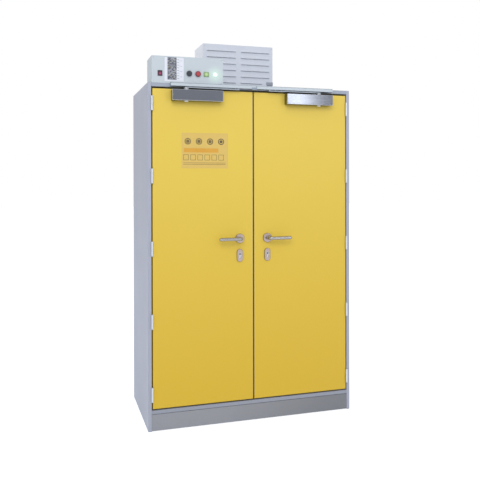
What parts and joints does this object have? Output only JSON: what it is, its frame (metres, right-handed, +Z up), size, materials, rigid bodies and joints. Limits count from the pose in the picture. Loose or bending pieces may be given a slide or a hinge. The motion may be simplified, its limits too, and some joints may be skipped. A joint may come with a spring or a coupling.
{
  "type": "battery cabinet",
  "caption": "Tall two-door fire-rated battery storage cabinet with yellow self-closing doors, lever handles, a control box and a louvred fan box on its roof.",
  "frame": {"origin": "on the floor, at the centre of the carcass footprint (the roof boxes, handles and closers are outside it)", "axes": "+Z up, +X to the right as seen from the front, +Y from the doors to the back"},
  "size_m": [1.2, 0.6595, 2.188],
  "materials": {
    "carcass_grey": "satin powder coat",
    "door_yellow": "satin powder coat",
    "housing_grey": "fine satin powder coat",
    "plinth_grey": "satin powder coat",
    "fire_board": "matte mineral board",
    "white_lining": "satin coated board",
    "door_liner": "satin powder coat",
    "zinc_steel": "zinc plated",
    "hinge_steel": "satin",
    "lever_chrome": "satin chrome",
    "closer_silver": "satin anodised",
    "rail_aluminium": "satin anodised",
    "brass": "machined",
    "seal_black": "matte",
    "shelf_grey": "satin powder coat",
    "black_plastic": "satin",
    "grey_plastic": "matte",
    "white_plastic": "satin",
    "plate_white": "satin film",
    "red_plastic": "gloss",
    "lamp_green": "translucent gloss",
    "filter_paper": "matte fleece"
  },
  "bodies": {
    "cabinet": {"left_side_panel": "carcass_grey", "right_side_panel": "carcass_grey", "roof_pan": "carcass_grey", "floor_pan": "carcass_grey", "back_panel": "carcass_grey", "base_frame": "plinth_grey", "levelling_feet": "zinc_steel", "plinth_cover": "plinth_grey", "insulation_boards": "fire_board", "inner_lining": "white_lining", "rebate_frame": "carcass_grey", "rebate_seals": "seal_black", "frame_hinges": "hinge_steel", "hinge_pins": "hinge_steel", "guide_rail": "rail_aluminium", "closing_sequencer": "grey_plastic", "shelf_supports": "zinc_steel", "shelves": "shelf_grey", "sump_tray": "shelf_grey", "ceiling_valve": "white_plastic", "smoke_detector": "white_plastic", "control_housing": "housing_grey", "control_panel": "housing_grey", "indicator_plate": "plate_white", "panel_bezels": "black_plastic", "signal_lamps": "lamp_green", "vent_housing": "housing_grey", "vent_cover": "housing_grey", "fan_motor": "zinc_steel", "exhaust_spigot": "zinc_steel", "filter_cassette": "filter_paper", "terminal_cover": "grey_plastic"},
    "left_door": {"left_door_skin": "door_yellow", "left_door_core": "fire_board", "left_door_liner": "door_liner", "left_door_hinges": "hinge_steel", "left_lock_case": "zinc_steel", "left_handle_plates": "lever_chrome", "left_closer_body": "closer_silver"},
    "left_lever": {"left_lever": "lever_chrome"},
    "left_key_plug": {"left_key_plug": "brass"},
    "left_latch_rod": {"left_latch_rod": "zinc_steel"},
    "left_closer_arm": {"left_closer_arm": "closer_silver"},
    "left_slide_block": {"left_slide_block": "white_plastic"},
    "right_door": {"right_door_skin": "door_yellow", "right_door_core": "fire_board", "right_door_liner": "door_liner", "right_door_hinges": "hinge_steel", "right_lock_case": "zinc_steel", "right_handle_plates": "lever_chrome", "right_closer_body": "closer_silver"},
    "right_lever": {"right_lever": "lever_chrome"},
    "right_key_plug": {"right_key_plug": "brass"},
    "right_latch_rod": {"right_latch_rod": "zinc_steel"},
    "right_closer_arm": {"right_closer_arm": "closer_silver"},
    "right_slide_block": {"right_slide_block": "white_plastic"},
    "power_switch": {"power_switch": "red_plastic"},
    "black_button": {"black_button": "black_plastic"},
    "red_button": {"red_button": "red_plastic"},
    "fan_impeller": {"fan_impeller": "black_plastic"}
  },
  "joints": [
    {"name": "left_door_swing", "type": "hinge", "parent": "cabinet", "child": "left_door", "pos_m": [-0.578, -0.3065, 0.9915], "axis": [0, 0, 1], "range_deg": [-100, 0], "stiffness_Nm_per_rad": 6, "springref_deg": 45.84},
    {"name": "left_arm_turn", "type": "hinge", "parent": "left_door", "child": "left_closer_arm", "pos_m": [-0.392, -0.324, 1.868], "axis": [0, 0, 1], "range_deg": [0, 133.64]},
    {"name": "left_block_slide", "type": "slide", "parent": "cabinet", "child": "left_slide_block", "axis": [1, 0, 0], "range_m": [-0.28918, 0]},
    {"name": "left_lever_turn", "type": "hinge", "parent": "left_door", "child": "left_lever", "pos_m": [-0.082, -0.3, 1.035], "axis": [0, 1, 0], "range_deg": [-40, 0], "stiffness_Nm_per_rad": 1.2, "springref_deg": 34.38},
    {"name": "left_rod_slide", "type": "slide", "parent": "left_door", "child": "left_latch_rod", "axis": [0, 0, 1], "range_m": [-0.0122, 0]},
    {"name": "left_key_turn", "type": "hinge", "parent": "left_door", "child": "left_key_plug", "pos_m": [-0.082, -0.306, 0.947], "axis": [0, 1, 0], "range_deg": [-90, 90]},
    {"name": "right_door_swing", "type": "hinge", "parent": "cabinet", "child": "right_door", "pos_m": [0.578, -0.3065, 0.9915], "axis": [0, 0, 1], "range_deg": [0, 100], "stiffness_Nm_per_rad": 6, "springref_deg": -45.84},
    {"name": "right_arm_turn", "type": "hinge", "parent": "right_door", "child": "right_closer_arm", "pos_m": [0.392, -0.324, 1.868], "axis": [0, 0, 1], "range_deg": [-133.64, 0]},
    {"name": "right_block_slide", "type": "slide", "parent": "cabinet", "child": "right_slide_block", "axis": [1, 0, 0], "range_m": [0, 0.28918]},
    {"name": "right_lever_turn", "type": "hinge", "parent": "right_door", "child": "right_lever", "pos_m": [0.082, -0.3, 1.035], "axis": [0, 1, 0], "range_deg": [0, 40], "stiffness_Nm_per_rad": 1.2, "springref_deg": -34.38},
    {"name": "right_rod_slide", "type": "slide", "parent": "right_door", "child": "right_latch_rod", "axis": [0, 0, 1], "range_m": [-0.0122, 0]},
    {"name": "right_key_turn", "type": "hinge", "parent": "right_door", "child": "right_key_plug", "pos_m": [0.082, -0.306, 0.947], "axis": [0, 1, 0], "range_deg": [-90, 90]},
    {"name": "power_switch_rock", "type": "hinge", "parent": "cabinet", "child": "power_switch", "pos_m": [-0.533, -0.297, 1.946], "axis": [1, 0, 0], "range_deg": [-16, 0]},
    {"name": "black_button_press", "type": "slide", "parent": "cabinet", "child": "black_button", "axis": [0, 1, 0], "range_m": [0, 0.003], "stiffness_N_per_m": 400, "springref_m": -0.002},
    {"name": "red_button_press", "type": "slide", "parent": "cabinet", "child": "red_button", "axis": [0, 1, 0], "range_m": [0, 0.003], "stiffness_N_per_m": 400, "springref_m": -0.002},
    {"name": "fan_spin", "type": "hinge", "parent": "cabinet", "child": "fan_impeller", "pos_m": [0, 0.105, 2], "axis": [0, 0, 1], "continuous": true}
  ],
  "couplings": [
    {"joint": "left_arm_turn", "follows": "left_door_swing", "ratio": -1.3314},
    {"joint": "left_block_slide", "follows": "left_door_swing", "m_per_rad": 0.1654},
    {"joint": "left_rod_slide", "follows": "left_lever_turn", "m_per_rad": 0.017189},
    {"joint": "right_arm_turn", "follows": "right_door_swing", "ratio": -1.3314},
    {"joint": "right_block_slide", "follows": "right_door_swing", "m_per_rad": 0.1654},
    {"joint": "right_rod_slide", "follows": "right_lever_turn", "m_per_rad": -0.017189}
  ]
}
